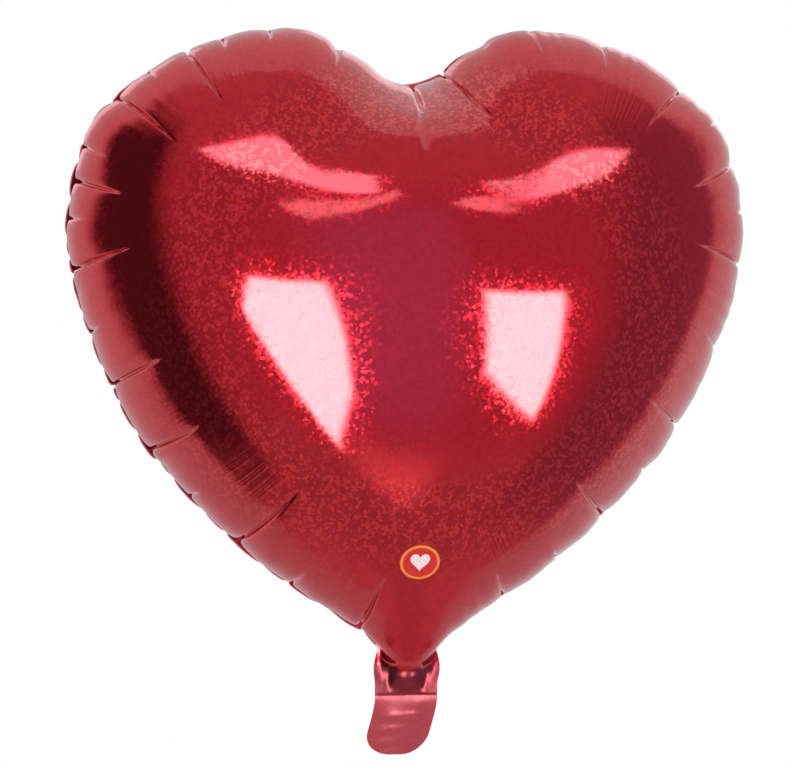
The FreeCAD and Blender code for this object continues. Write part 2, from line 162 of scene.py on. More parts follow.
def seam_distance(flat):
    """Distance to the seam and running length of the nearest point of it."""
    count = SEAM_SAMPLES
    run = np.arange(count) * PERIMETER / count
    line = on_outline(run, np.zeros(count))
    far = np.empty(len(flat))
    nearest = np.empty(len(flat))
    for start in range(0, len(flat), 4000):
        part = flat[start:start + 4000]
        gap = ((part[:, None, :] - line[None, :, :]) ** 2).sum(axis=2)
        index = gap.argmin(axis=1)
        here = line[index]
        ahead = line[(index + 1) % count] - here
        share = ((part - here) * ahead).sum(axis=1) / (ahead ** 2).sum(axis=1)
        far[start:start + 4000] = np.sqrt(gap.min(axis=1))
        nearest[start:start + 4000] = run[index] + share * PERIMETER / count
    return far, nearest


def triangulated(points, ring_count):
    """The points inside the ring of the first ring_count points, and their triangles."""
    found = delaunay_2d_cdt([Vector(p) for p in points], [], [list(range(ring_count))], 1, 1e-6)
    places = np.array([tuple(v) for v in found[0]])
    triangles = np.array(found[2])
    used = np.unique(triangles)
    number = np.full(len(places), -1)
    number[used] = np.arange(len(used))
    places = places[used]
    triangles = number[triangles]
    a, b, c = (places[triangles[:, k]] for k in range(3))
    turn = (b[:, 0] - a[:, 0]) * (c[:, 1] - a[:, 1]) - (b[:, 1] - a[:, 1]) * (c[:, 0] - a[:, 0])
    triangles[turn < 0] = triangles[turn < 0][:, ::-1]
    return places, triangles


def lattice_points(spacing):
    low = OUTLINE.min(axis=0)
    high = OUTLINE.max(axis=0)
    columns = int(high[0] / spacing) + 2
    rows = []
    for k, z in enumerate(np.arange(low[1], high[1], spacing * math.sqrt(3) / 2)):
        across = (np.arange(-columns, columns + 1) + 0.5 * (k % 2)) * spacing
        rows.append(np.c_[across, np.full(len(across), z)])
    return np.vstack(rows)


def flat_triangles(spacing):
    """Rim points, a triangular lattice inside them, and the triangles between."""
    count = int(round(PERIMETER / spacing))
    run = np.arange(count) * PERIMETER / count
    rim = on_outline(run, np.zeros(count))
    lattice = lattice_points(spacing)
    lattice = lattice[seam_distance(lattice)[0] > 0.7 * spacing]
    places, triangles = triangulated(np.vstack([rim, lattice]), count)
    return places, triangles, run


# ------------------------------------------------------------------ the blown-up film
class Film:
    """One sheet as a triangle mesh: flat is the cut and x the shape, with the gas pushing to -y.

    run is a seam point's running length along the outline, or -1 elsewhere."""

    def __init__(self, spacing):
        self.flat, self.triangles, run = flat_triangles(spacing)
        self.run = np.concatenate([run, np.full(len(self.flat) - len(run), -1.0)])
        puff = np.sqrt(seam_distance(self.flat)[0]) * FIRST_PUFF
        puff[:len(run)] = 0.0
        self.x = np.c_[self.flat[:, 0], -puff, self.flat[:, 1]]

    def refine(self):
        """Split each triangle into four, keeping the seam on its true curve."""
        edges, place = edges_of(self.triangles)
        a, b = edges.T
        flat = (self.flat[a] + self.flat[b]) / 2
        middle = (self.run[a] + self.run[b]) / 2
        middle += np.where(np.abs(self.run[a] - self.run[b]) > PERIMETER / 2, PERIMETER / 2, 0.0)
        run = np.where(self.on_seam(a, b), np.mod(middle, PERIMETER), -1.0)
        seam = run >= 0
        flat[seam] = on_outline(run[seam], np.zeros(seam.sum()))
        self.triangles = split_in_four(self.triangles, place, len(self.flat))
        self.x = np.vstack([self.x, (self.x[a] + self.x[b]) / 2])
        self.flat = np.vstack([self.flat, flat])
        self.run = np.concatenate([self.run, run])

    def on_seam(self, a, b):
        """Whether the edges from a to b lie along the seam."""
        apart = np.abs(self.run[a] - self.run[b])
        apart = np.minimum(apart, PERIMETER - apart)
        chord = np.linalg.norm(self.flat[a] - self.flat[b], axis=1)
        return (self.run[a] >= 0) & (self.run[b] >= 0) & (apart < 1.6 * chord + 1e-6)


def edges_of(triangles):
    """The edges, and each triangle's three edges by number."""
    pairs = np.vstack([triangles[:, [0, 1]], triangles[:, [1, 2]], triangles[:, [2, 0]]])
    edges, place = np.unique(np.sort(pairs, axis=1), axis=0, return_inverse=True)
    return edges, place.reshape(3, -1).T


def split_in_four(triangles, place, count):
    corners = np.hstack([triangles, place + count])
    return np.vstack([corners[:, k] for k in ([0, 3, 5], [3, 1, 4], [5, 4, 2], [3, 4, 5])])


def grouped(pairs, count):
    """Order the pairs so that no point occurs twice in a group; return them and the groups."""
    used = [0] * count
    group = np.empty(len(pairs), int)
    for k, (a, b) in enumerate(pairs.tolist()):
        busy = used[a] | used[b]
        free = (~busy & (busy + 1)).bit_length() - 1
        group[k] = free
        used[a] |= 1 << free
        used[b] |= 1 << free
    order = np.argsort(group, kind="stable")
    ends = np.searchsorted(group[order], np.arange(group.max() + 2))
    return pairs[order], list(zip(ends[:-1], ends[1:]))


def gather(index, values, count):
    """Sum the rows of values that fall to each point."""
    return np.stack([np.bincount(index, values[:, k], count) for k in range(values.shape[1])], axis=1)


def inflate(film, steps):
    """Blow the film up. It gathers freely and its seam stays in its plane. It resists stretching, but
    not fully: about three in ten of its edges end up more than 2% longer than they were cut."""
    count = len(film.x)
    pairs, groups = grouped(edges_of(film.triangles)[0], count)
    a, b = pairs.T
    lengths = np.linalg.norm(film.flat[a] - film.flat[b], axis=1)
    seam = film.run >= 0
    along = film.on_seam(a, b)
    hears = np.concatenate([a[along | ~seam[a]], b[along | ~seam[b]]])
    heard = np.concatenate([b[along | ~seam[a]], a[along | ~seam[b]]])
    number = np.bincount(hears, minlength=count)
    weight = np.where(film.flat[:, 1] < TIE_HALF, 0.0, 1.0)
    share = SMOOTHING * weight / np.maximum(number, 1)
    skin = film.triangles
    x = film.x
    x[weight == 0, 1] = 0.0
    speed = np.zeros_like(x)
    for _ in range(steps):
        p, q, r = (x[skin[:, k]] for k in range(3))
        normal = np.cross(q - p, r - p) * (PRESSURE / 6)
        push = gather(skin.ravel(), np.repeat(normal, 3, axis=0), count)
        speed = (speed + push * weight[:, None]) * DAMPING
        before = x.copy()
        x += speed
        for start, end in groups:
            i = a[start:end]
            j = b[start:end]
            apart = x[i] - x[j]
            gap = np.maximum(np.sqrt((apart ** 2).sum(axis=1)), 1e-9)
            both = np.maximum(weight[i] + weight[j], 1e-9)
            apart *= (np.minimum(lengths[start:end] - gap, 0.0) / both / gap)[:, None]
            x[i] += apart * weight[i][:, None]
            x[j] -= apart * weight[j][:, None]
        x += (gather(hears, x[heard], count) - number[:, None] * x) * share[:, None]
        x[seam, 1] = 0.0
        speed = x - before


def blown_up():
    film = Film(COARSE_SPACING)
    inflate(film, COARSE_STEPS)
    film.refine()
    inflate(film, REFINED_STEPS)
    triangles = film.triangles
    both = np.hstack([film.x, film.flat])
    for _ in range(2):
        triangles, both = loop_smooth(triangles, both)
    return triangles, both[:, :3], both[:, 3:]


def loop_smooth(triangles, values):
    """One Loop subdivision of every column of values."""
    count = len(values)
    edges, place = edges_of(triangles)
    uses = np.bincount(place.ravel(), minlength=len(edges))
    a, b = edges.T
    opposite = gather(place.T.ravel(), values[triangles[:, [2, 0, 1]].T.ravel()], len(edges))
    half = (values[a] + values[b]) / 2
    middle = np.where((uses == 2)[:, None], 0.75 * half + opposite / 8, half)
    edge = uses == 1
    near = np.concatenate([a, b])
    far = np.concatenate([b, a])
    rim = np.concatenate([edge, edge])
    total = gather(near, values[far], count)
    number = np.bincount(near, minlength=count)[:, None]
    rim_total = gather(near[rim], values[far[rim]], count)
    on_rim = np.bincount(near[rim], minlength=count)[:, None] > 0
    share = np.where(number == 3, 3 / 16, 3 / (8 * np.maximum(number, 3)))
    moved = np.where(on_rim, 0.75 * values + rim_total / 8, values * (1 - number * share) + total * share)
    return split_in_four(triangles, place, count), np.vstack([moved, middle])


def point_normals(triangles, x):
    a, b, c = (x[triangles[:, k]] for k in range(3))
    face = np.cross(b - a, c - a)
    normal = gather(triangles.T.ravel(), np.tile(face, (3, 1)), len(x))
    return normal / np.maximum(np.linalg.norm(normal, axis=1), 1e-12)[:, None]


# ------------------------------------------------------------------ the fine film
COLUMN_SPACING = 0.7                   # along the seam
FIRST_ROW = 0.9                        # rows alongside the seam, ever wider apart
ROW_GROWTH = 1.09
WIDEST_ROW = 3.2
ROWS_TO = 90.0
LATTICE = 3.2                          # further in
CLEARANCE = 2.0


def fine_flat():
    """The flat film again, with rows of points that follow the seam. The first row is the seam."""
    count = int(round(PERIMETER / COLUMN_SPACING))
    run = np.arange(count) * PERIMETER / count
    points = [on_outline(run, np.zeros(count))]
    depth = 0.0
    step = FIRST_ROW
    while depth < ROWS_TO:
        depth += step
        step = min(step * ROW_GROWTH, WIDEST_ROW)
        row = on_outline(run, np.full(count, -depth))
        points.append(row[seam_distance(row)[0] > 0.99 * depth - 0.03])
    rows = np.vstack(points)
    tree = KDTree(len(rows))
    for k, (across, z) in enumerate(rows.tolist()):
        tree.insert((across, z, 0.0), k)
    tree.balance()
    inner = [p for p in lattice_points(LATTICE).tolist() if tree.find((*p, 0.0))[2] > CLEARANCE]
    places, triangles = triangulated(np.vstack([rows, inner]), count)
    far, nearest = seam_distance(places)
    far[:count] = 0.0
    nearest[:count] = run
    return places, triangles, far, np.mod(nearest, PERIMETER), count


def laid_on(flat, triangles, x, cut):
    """Where points of the flat cut come to lie on the blown-up film, with the film's normals."""
    normals = point_normals(triangles, x)
    tree = BVHTree.FromPolygons(np.c_[cut, np.zeros(len(cut))].tolist(), triangles.tolist())
    hit = [tree.find_nearest((*p, 0.0))[2] for p in flat.tolist()]
    a, b, c = triangles[hit].T
    u = cut[b] - cut[a]
    v = cut[c] - cut[a]
    w = flat - cut[a]
    size = u[:, 0] * v[:, 1] - u[:, 1] * v[:, 0]
    s = ((w[:, 0] * v[:, 1] - w[:, 1] * v[:, 0]) / size)[:, None]
    t = ((u[:, 0] * w[:, 1] - u[:, 1] * w[:, 0]) / size)[:, None]
    shape = x[a] * (1 - s - t) + x[b] * s + x[c] * t
    normal = normals[a] * (1 - s - t) + normals[b] * s + normals[c] * t
    return shape, normal / np.linalg.norm(normal, axis=1)[:, None]


# ------------------------------------------------------------------ creases and fine folds
SEAM_SINK = 3.4                        # how far the seam lies below the puffs
SEAM_SHOULDER = 7.0                    # distance from the seam at which the film is its own again
CREASE_WIDTH = 5.5
SLIT_WIDTH = 0.9                       # the sharp fold in the middle of a crease
BROAD_SHARE = 0.75                     # of a crease's depth
SLIT_SHARE = 1.2
CREASE_SIDE = 45.0                     # a crease is left out beyond this distance from it
SEAM_DRAW = 0.35                       # how much of the creases' depth draws the seam in
SEAM_WAVER = 0.45                      # and how much pushes it forward or back
PUFF = {-1: 4.0, 1: 5.2}               # how far the film swells between the creases, front and rear
PUFF_REACH = 55.0
DEPTH_SHARE = 0.90                     # of the solver's depth, chosen to stay near the CAD domes
TUBE_HALF = 10.0                       # the puffed middle of the neck
TUBE_DEPTH = 7.0
TAIL_SLANT = 0.93
NECK_TOP = 16.0                        # up to here the neck's foil is rougher, and its base colour is darkened by painted shade
TAIL_EDGE = 0.12                       # half thickness of the tail at its welds
TAIL_BULGE = 0.5                       # what its middle adds at the top
TAIL_GAPE = 1.5                        # and what it adds towards the mouth
BACKWARD = 0.50                        # slope at which the tail hangs back
BEND_DEPTH = 1.6                       # rounding of the bend below the tie line, and its length
BEND_LENGTH = 3.2
NECK_LEAN = 0.6                        # sideways, of the neck and then of the tail
TAIL_LEAN = 4.8

# placed: running length along the seam from the cleft, reach inwards, sideways bend, depth
FRONT_CREASES = [
    (1.5, 104.0, -0.5, 3.0), (20.0, 92.0, -1.0, 3.0), (90.0, 40.0, 0.0, 1.8), (143.0, 44.0, 0.0, 2.0),
    (200.0, 74.0, -1.5, 3.2), (236.0, 26.0, 0.0, 1.2), (273.0, 70.0, 0.8, 3.4), (306.0, 26.0, 0.0, 1.2),
    (339.0, 74.0, -2.0, 3.4), (396.0, 40.0, 0.0, 2.2), (461.0, 66.0, 0.0, 3.4), (503.0, 26.0, 0.0, 1.2),
    (544.0, 72.0, 0.0, 3.6), (584.0, 30.0, 0.0, 1.8), (623.0, 46.0, 0.0, 2.8), (828.0, 60.0, 0.0, 3.2),
    (876.0, 36.0, 0.0, 1.8), (918.0, 82.0, 0.0, 3.8), (960.0, 26.0, 0.0, 1.2), (1002.0, 64.0, 0.0, 3.4),
    (1060.0, 66.0, 0.0, 3.4), (1100.0, 26.0, 0.0, 1.4), (1142.0, 70.0, 2.0, 3.4), (1173.0, 30.0, 0.0, 1.8),
    (1197.0, 60.0, 0.0, 3.2), (1222.0, 36.0, 0.0, 2.0), (1271.0, 74.0, -1.5, 3.2), (1298.0, 26.0, 0.0, 1.4),
    (1325.0, 72.0, 1.5, 3.2), (1349.0, 30.0, 0.0, 1.6), (1383.0, 30.0, 0.0, 1.6), (1437.0, 40.0, 0.0, 2.1),
]
REAR_SPACING = (11.0, 31.0)            # between the rear foil's creases, which are spread at random
REAR_REACH = (20.0, 36.0)
REAR_REACH_PER_GAP = 1.3
REAR_BEND = 1.5
REAR_DEPTH = 1.0
REAR_DEPTH_PER_REACH = 0.045
WIDE_SPACING = 16.0                    # the shallow waves at the seam
WIDE_HEIGHT = 0.16
COMB_SPACING = 3.7                     # the combed lines further in
COMB_HEIGHT = 0.05


def smoothstep(low, high, value):
    share = np.clip((value - low) / (high - low), 0.0, 1.0)
    return share * share * (3 - 2 * share)


def rear_creases():
    creases = []
    place = rng.uniform(*REAR_SPACING)
    while place < PERIMETER - REAR_SPACING[0]:
        gap = rng.uniform(*REAR_SPACING)
        reach = rng.uniform(*REAR_REACH) + REAR_REACH_PER_GAP * gap * rng.random()
        bend = rng.uniform(-REAR_BEND, REAR_BEND)
        creases.append((place, reach, bend, REAR_DEPTH + reach * REAR_DEPTH_PER_REACH))
        place += gap
    return creases


def dips(run, depth, creases):
    """How far each point is drawn in by the creases."""
    dip = np.zeros(len(run))
    column = PERIMETER / SEAM_COUNT
    for place, reach, bend, deep in creases:
        place = round(place / column) * column
        aside = run - place - bend * (depth / 40.0) ** 2
        aside = np.abs(np.mod(aside + PERIMETER / 2, PERIMETER) - PERIMETER / 2)
        near = (aside < CREASE_SIDE) & (depth < reach)
        fade = 1 - smoothstep(0.25 * reach, reach, depth[near])
        broad = BROAD_SHARE * np.exp(-(aside[near] / CREASE_WIDTH) ** 0.8)
        slit = SLIT_SHARE * np.exp(-(aside[near] / SLIT_WIDTH) ** 1.5)
        dip[near] += deep * (broad * fade + slit * np.sqrt(fade))
    return dip


def wander(run, count, strength, lowest, highest):
    """A slow random wave along the seam."""
    wave = np.zeros(len(run))
    for _ in range(count):
        turns = rng.integers(lowest, highest)
        wave += np.sin(2 * math.pi * (turns * run / PERIMETER + rng.random()))
    return wave * strength / math.sqrt(count)


def fine_folds(run, depth):
    """Shallow waves that run inwards from the seam, and the combed lines further in."""
    drift = wander(run, 5, 2.0, 6, 40)
    wide = np.sin(2 * math.pi * (run / WIDE_SPACING) + drift) * (0.6 + 0.4 * np.sin(0.09 * run))
    wide *= smoothstep(3.0, 9.0, depth) * (1 - smoothstep(30.0, 66.0, depth))
    patch = smoothstep(-0.6, 0.9, wander(run, 4, 1.0, 8, 30))
    comb = np.sin(2 * math.pi * (run / COMB_SPACING) + wander(run, 6, 3.0, 20, 120) + 0.01 * depth)
    comb *= smoothstep(34.0, 50.0, depth) * (1 - smoothstep(72.0, 90.0, depth)) * patch
    return WIDE_HEIGHT * wide + COMB_HEIGHT * comb


def neck_middle(across, z):
    """Where the neck's and the tail's middle plane lies: the tail hangs back, softly wrinkled."""
    below = np.minimum(z + 1.0, 0.0)
    back = -BACKWARD * below - BEND_DEPTH * (1 - np.exp(below / BEND_LENGTH))
    wrinkle = 0.22 * np.sin(z * 0.62 + 0.10 * across) * np.exp(-((z + 13) / 7.0) ** 2)
    wrinkle += 0.14 * np.sin(z * 0.80 - 0.16 * across + 2.0) * smoothstep(-6.0, -14.0, z)
    lean = -NECK_LEAN * smoothstep(26.0, 2.0, z) - TAIL_LEAN * smoothstep(0.0, -38.0, z)
    return lean, back + wrinkle * np.clip(1 - (across / TAIL_HALF) ** 2, 0.0, 1.0)


def hung(z):
    """Height of the film that is cut at z: the tail hangs aslant, so it reaches less far down."""
    return np.where(z < 0, TAIL_SLANT * z, z)


def neck_shape(flat, side):
    """The neck, flat at its side welds with a puffed tube in its middle, and the soft tail below it."""
    across, z = flat.T
    edge = np.clip(1 - (across / TAIL_HALF) ** 4, 0.0, 1.0)
    tube = np.clip(1 - (across / TUBE_HALF) ** 2, 0.0, 1.0) ** 0.7
    above = 0.5 + 0.5 * edge + TUBE_DEPTH * tube * smoothstep(0.0, 13.0, z)
    above += 0.05 * np.sin(across * 1.25 + 0.8 * side) * smoothstep(1.0, 5.0, z) * (1 - tube) * edge
    dome = np.clip(1 - (across / NECK_HALF) ** 2, 0.0, 1.0) ** 2
    below = TAIL_EDGE + TAIL_BULGE * dome + TAIL_GAPE * dome * smoothstep(-1.0, -14.0, z)
    bulge = below + (above - below) * smoothstep(-0.4, 1.6, z)
    lean, middle = neck_middle(across, z)
    return np.c_[across + lean, middle + side * bulge, hung(z)]


def neck_share(flat):
    return (1 - smoothstep(4.0, 24.0, flat[:, 1])) * (1 - smoothstep(17.0, 26.0, np.abs(flat[:, 0])))


def foil_shape(side, own):
    """Every point of one foil, up to its seam."""
    x = FINE_X * (1.0, -side * DEPTH_SHARE, 1.0)
    normal = FINE_NORMAL * (DEPTH_SHARE, -side, DEPTH_SHARE)
    normal /= np.linalg.norm(normal, axis=1)[:, None]
    at_seam = np.full(len(RUN), 0.5 * SEAM_SHOULDER)
    front = dips(RUN, at_seam, FRONT_CREASES)
    rear = dips(RUN, at_seam, REAR_CREASES)
    heart = smoothstep(14.0, 34.0, FLAT[:, 1])
    near = 1 - smoothstep(0.0, SEAM_SHOULDER, DEPTH)
    out = normal * (1.0, 0.0, 1.0)
    out /= np.maximum(np.linalg.norm(out, axis=1), 1e-6)[:, None]
    swell = PUFF[side] * (1 - smoothstep(0.0, PUFF_REACH, DEPTH))
    at_rest = swell + fine_folds(RUN, DEPTH) - dips(RUN, DEPTH, own)
    move = normal * (at_rest * (1 - near))[:, None]
    move -= out * ((SEAM_SINK + SEAM_DRAW * (front + rear)) * near)[:, None]
    move[:, 1] += SEAM_WAVER * (rear - front) * near
    x += move * heart[:, None]
    x += (neck_shape(FLAT, side) - x) * neck_share(FLAT)[:, None]
    return x


def weld_strip(x, side):
    """The flat weld outside the seam, folded out of the seam's valley."""
    seam = x[:SEAM_COUNT]
    ahead = np.roll(seam, -1, axis=0) - np.roll(seam, 1, axis=0)
    out = np.c_[-ahead[:, 2], np.zeros(SEAM_COUNT), ahead[:, 0]]
    for _ in range(6):
        out = (out + np.roll(out, 1, axis=0) + np.roll(out, -1, axis=0)) / 3
    out /= np.linalg.norm(out, axis=1)[:, None]
    heart = smoothstep(6.0, 30.0, FLAT[:SEAM_COUNT, 1])
    width = WELD_WIDTH - 0.6 * heart
    curl = heart * (0.5 + 0.6 * np.sin(RUN[:SEAM_COUNT] / 6.3))
    strips = []
    for share in (0.5, 1.0):
        strip = seam + out * (width * share)[:, None]
        strip[:, 1] += curl * share ** 2
        flat = on_outline(RUN[:SEAM_COUNT], width * share)
        strip += (neck_shape(flat, side) - strip) * neck_share(flat)[:, None]
        strips.append(strip)
    return strips


def mesh_object(name, triangles, x, material):
    mesh = bpy.data.meshes.new(name)
    mesh.from_pydata((x * MM).tolist(), [], triangles.tolist())
    mesh.materials.append(material)
    mesh.polygons.foreach_set("use_smooth", [True] * len(mesh.polygons))
    mesh.update()
    thing = bpy.data.objects.new(name, mesh)
    bpy.context.scene.collection.objects.link(thing)
    return thing


# ------------------------------------------------------------------ materials
GRAIN_SIZE = 0.0016
GRAIN_TILT = 0.02
GLITTER_TILT = 0.03
GLITTER_SHARE = (0.56, 0.72)           # grains with a chance above these are glitter
PAINTED_RING_SIZE = (0.125, 0.115)             # half width and half height of the ring of painted glints and painted shade
PAINTED_RING_HEIGHT = 0.215                    # of its middle above the tie line
PAINTED_RING_INNER = (0.74, 0.92)              # where it fades in and out, in ring sizes
PAINTED_RING_OUTER = (1.34, 1.08)
PAINTED_GLINT_CHANCE = (0.52, 0.80)            # grains of the ring with a chance above these get a painted glint
# how much of the painted shade colour is mixed in over the ring
PAINTED_SHADE_SHARE = 0.65
COAT_IOR = 1.62
# the colour of the painted glints, then the colour of the painted shade
PAINTED_GLINT = (1.0, 0.075, 0.070, 1.0)
PAINTED_SHADE = (0.55, 0.010, 0.025, 1.0)


class Nodes:
    """Short calls for building a node tree. Inputs are sockets or plain values."""

    def __init__(self, tree):
        self.tree = tree

    def add(self, kind, **settings):
        node = self.tree.nodes.new(kind)
        for key, value in settings.items():
            setattr(node, key, value)
        return node

    def feed(self, socket, value):
        if isinstance(value, bpy.types.NodeSocket):
            self.tree.links.new(value, socket)
        elif value is not None:
            socket.default_value = value

    def math(self, operation, first, second=None, third=None):
        node = self.add("ShaderNodeMath", operation=operation)
        for socket, value in zip(node.inputs, (first, second, third)):
            self.feed(socket, value)
        return node.outputs[0]

    def vector(self, operation, first, second=None, scale=None):
        node = self.add("ShaderNodeVectorMath", operation=operation)
        self.feed(node.inputs[0], first)
        self.feed(node.inputs[1], second)
        if scale is not None:
            self.feed(node.inputs[3], scale)
        return node.outputs[1 if operation == "LENGTH" else 0]

    def step(self, value, low, high, out_low=0.0, out_high=1.0):
        node = self.add("ShaderNodeMapRange", interpolation_type="SMOOTHSTEP")
        for name, what in (("Value", value), ("From Min", low), ("From Max", high),
                           ("To Min", out_low), ("To Max", out_high)):
            self.feed(node.inputs[name], what)
        return node.outputs["Result"]

    def mix(self, share, first, second):
        node = self.add("ShaderNodeMix", data_type="RGBA")
        self.feed(node.inputs["Factor"], share)
        self.feed(node.inputs[6], first)
        self.feed(node.inputs[7], second)
        return node.outputs[2]


def new_material(name):
    material = bpy.data.materials.new(name)
    material.use_nodes = True
    tree = material.node_tree
    return material, Nodes(tree), tree.nodes["Principled BSDF"]


def foil_material(name, dark, light, smoothest, roughest, coat_roughness):
    """Red metallised film. A part of its grains are tilted and blur what they mirror: the glitter.
    In a ring about its middle, painted shade darkens the colour and painted glints light some grains.
    """
    material, nodes, shader = new_material(name)
    place = nodes.add("ShaderNodeTexCoord").outputs["Object"]
    grain = nodes.add("ShaderNodeTexVoronoi", feature="F1")
    nodes.feed(grain.inputs["Vector"], place)
    nodes.feed(grain.inputs["Scale"], 1 / GRAIN_SIZE)
    chance = nodes.add("ShaderNodeSeparateColor")
    nodes.feed(chance.inputs[0], grain.outputs["Color"])
    glitter = nodes.step(chance.outputs[1], *GLITTER_SHARE)
    tilt = nodes.vector("SUBTRACT", grain.outputs["Color"], (0.5, 0.5, 0.5))
    bent = nodes.vector("SCALE", tilt, scale=nodes.math("MULTIPLY_ADD", glitter, GLITTER_TILT, GRAIN_TILT))
    normal = nodes.add("ShaderNodeNewGeometry").outputs["Normal"]
    nodes.feed(shader.inputs["Normal"], nodes.vector("NORMALIZE", nodes.vector("ADD", normal, bent)))
    parts = nodes.add("ShaderNodeSeparateXYZ")
    nodes.feed(parts.inputs[0], place)
    across = nodes.math("DIVIDE", parts.outputs[0], PAINTED_RING_SIZE[0])
    up = nodes.math("DIVIDE", nodes.math("SUBTRACT", parts.outputs[2], PAINTED_RING_HEIGHT), PAINTED_RING_SIZE[1])
    far = nodes.math("SQRT", nodes.math("MULTIPLY_ADD", across, across, nodes.math("MULTIPLY", up, up)))
    # the ring over which the base colour carries painted shade and painted glints
    ring = nodes.math("MULTIPLY", nodes.step(far, *PAINTED_RING_INNER), nodes.step(far, *PAINTED_RING_OUTER))
    tint_and_painted_shade = nodes.mix(chance.outputs[0], dark, light)
    # painted shade darkens the ring, and painted glints light some of its grains
    tint_and_painted_shade = nodes.mix(nodes.math("MULTIPLY", ring, PAINTED_SHADE_SHARE), tint_and_painted_shade, PAINTED_SHADE)
    painted_glints = nodes.math("MULTIPLY", ring, nodes.step(chance.outputs[2], *PAINTED_GLINT_CHANCE))
    nodes.feed(shader.inputs["Base Color"], nodes.mix(painted_glints, tint_and_painted_shade, PAINTED_GLINT))
    nodes.feed(shader.inputs["Roughness"], nodes.step(chance.outputs[1], *GLITTER_SHARE, smoothest, roughest))
    shader.inputs["Metallic"].default_value = 1.0
    shader.inputs["Coat Weight"].default_value = 1.0
    shader.inputs["Coat Roughness"].default_value = coat_roughness
    shader.inputs["Coat IOR"].default_value = COAT_IOR
    return material


def ink_material(name, dark, light):
    """Screen-printed ink: even colour with a faint mottle and a little tooth."""
    material, nodes, shader = new_material(name)
    place = nodes.add("ShaderNodeTexCoord").outputs["Object"]
    mottle = nodes.add("ShaderNodeTexNoise")
    nodes.feed(mottle.inputs["Vector"], place)
    nodes.feed(mottle.inputs["Scale"], 900.0)
    nodes.feed(shader.inputs["Base Color"], nodes.mix(mottle.outputs[0], (*dark, 1), (*light, 1)))
    nodes.feed(shader.inputs["Roughness"], nodes.step(mottle.outputs[0], 0.3, 0.7, 0.32, 0.42))
    bump = nodes.add("ShaderNodeBump")
    nodes.feed(bump.inputs["Height"], mottle.outputs[0])
    bump.inputs["Strength"].default_value = 0.15
    bump.inputs["Distance"].default_value = 0.0001
    nodes.feed(shader.inputs["Normal"], bump.outputs[0])
    return material


def film_material():
    """Clear polyethylene of the valve, faintly milky, with the draw lines of its making."""
    material, nodes, shader = new_material("valve_film")
    place = nodes.add("ShaderNodeTexCoord").outputs["Object"]
    lines = nodes.add("ShaderNodeTexNoise")
    nodes.feed(lines.inputs["Vector"], nodes.vector("MULTIPLY", place, (1.0, 1.0, 0.08)))
    nodes.feed(lines.inputs["Scale"], 1400.0)
    nodes.feed(shader.inputs["Base Color"],
               nodes.mix(lines.outputs[0], (0.78, 0.80, 0.83, 1), (0.9, 0.91, 0.93, 1)))
    nodes.feed(shader.inputs["Roughness"], nodes.step(lines.outputs[0], 0.3, 0.7, 0.18, 0.34))
    shader.inputs["Transmission Weight"].default_value = 0.7
    shader.inputs["IOR"].default_value = 1.5
    return material


def coating_material():
    """Matt release coating, rolled on in a fine stipple."""
    material, nodes, shader = new_material("release_ink")
    place = nodes.add("ShaderNodeTexCoord").outputs["Object"]
    stipple = nodes.add("ShaderNodeTexVoronoi", feature="F1")
    nodes.feed(stipple.inputs["Vector"], place)
    nodes.feed(stipple.inputs["Scale"], 2500.0)
    nodes.feed(shader.inputs["Base Color"],
               nodes.mix(stipple.outputs["Distance"], (0.72, 0.74, 0.76, 1), (0.58, 0.60, 0.63, 1)))
    shader.inputs["Roughness"].default_value = 0.75
    return material


# ------------------------------------------------------------------ pieces
FLAT, TRIANGLES, DEPTH, RUN, SEAM_COUNT = fine_flat()
FINE_X, FINE_NORMAL = laid_on(FLAT, *blown_up())
REAR_CREASES = rear_creases()
FILM_OFFSET = 0.06                     # each foil's surface lies this far outside the film's middle
BADGE_CENTRE = (0.0, 76.7)
BADGE_HALF = (11.0, 9.5)
HEART_DROP = 0.3                       # of the small heart below the badge's centre
HEART_SIZE = 5.4
INLET_WIDTH = 20.0
INLET_TOP = -1.2
INLET_LENGTH = 27.3
INLET_COLUMNS = 21
INLET_ROWS = 29
INLET_GAP = 0.12                       # of each inlet film from the tail's middle plane
INLET_GAPE = 0.5                       # what the gap gains at the open end


def make_foil(name, side, own, materials, replaced):
    x = foil_shape(side, own)
    strips = weld_strip(x, side)
    edge = np.arange(SEAM_COUNT)
    after = (edge + 1) % SEAM_COUNT
    rings = [0, len(x), len(x) + SEAM_COUNT]
    triangles = [TRIANGLES]
    for near, far in zip(rings[:-1], rings[1:]):
        triangles.append(np.c_[edge + near, after + far, edge + far])
        triangles.append(np.c_[edge + near, after + near, after + far])
    triangles = np.vstack(triangles)
    if side > 0:
        triangles = triangles[:, ::-1]
    x = np.vstack([x] + strips)
    x += point_normals(triangles, x) * FILM_OFFSET
    piece = mesh_object(name, triangles, x, materials[0])
    for material in materials[1:]:
        piece.data.materials.append(material)
    height = np.concatenate([FLAT[:, 1], FLAT[:SEAM_COUNT, 1], FLAT[:SEAM_COUNT, 1]])
    height = height[triangles].mean(axis=1)
    # slot 1 is the neck foil darkened by painted shade, slot 2 the tail foil lightened by painted sheen
    piece.data.polygons.foreach_set("material_index", (height < NECK_TOP) + (height < 0.0).astype(int))
    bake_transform(piece)
    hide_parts(*replaced)
    return triangles, x


def conforming(skin, centre, places):
    """Points (across, up, lift) about a centre laid on the front foil, lifted off it."""
    laid = []
    for across, up, lift in places:
        start = Vector((centre[0] + across, -300.0, centre[1] + up))
        hit, normal = skin.ray_cast(start, Vector((0, 1, 0)))[:2]
        laid.append(tuple(hit + normal * lift))
    return np.array(laid)


